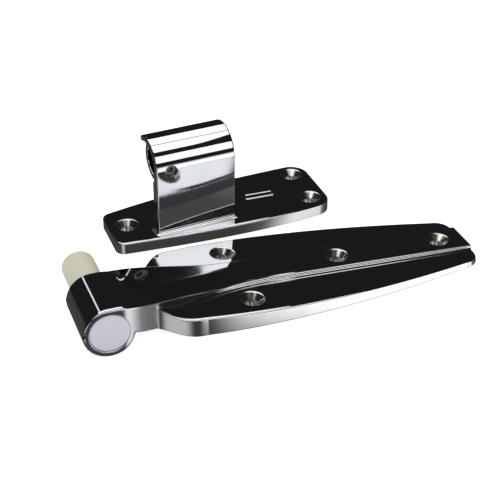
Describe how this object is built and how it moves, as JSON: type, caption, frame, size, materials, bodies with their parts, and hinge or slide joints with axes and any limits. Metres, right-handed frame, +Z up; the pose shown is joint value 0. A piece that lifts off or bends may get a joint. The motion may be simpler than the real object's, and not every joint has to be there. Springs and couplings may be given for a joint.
{
  "type": "offset door hinge",
  "caption": "Offset door hinge in separate halves: a long winged strap with a nylon pivot pin in its knuckle, and a flange whose hooded bracket has the socket.",
  "frame": {"origin": "on the pivot axis, at the end face of the knuckle that the pin comes out of", "axes": "+X along the strap from the pivot axis to its tip, +Y along the pivot axis out of the knuckle, +Z up from the mounting faces"},
  "size_m": [0.2055, 0.1325, 0.0551],
  "materials": {
    "chrome": "bright chrome plate on zinc die casting",
    "cap_plastic": "satin pale grey plastic",
    "nylon": "natural cream nylon",
    "steel": "zinc plated steel"
  },
  "bodies": {
    "hinge": {"strap": "chrome", "knuckle_cap": "cap_plastic", "flange": "chrome", "set_screw": "steel"},
    "pin": {"pivot_pin": "nylon", "pin_washer": "steel", "pin_screw": "steel"}
  },
  "joints": [
    {"name": "pin_turn", "type": "hinge", "parent": "hinge", "child": "pin", "pos_m": [0, 0, 0], "axis": [0, 1, 0], "range_deg": [0, 180]}
  ]
}
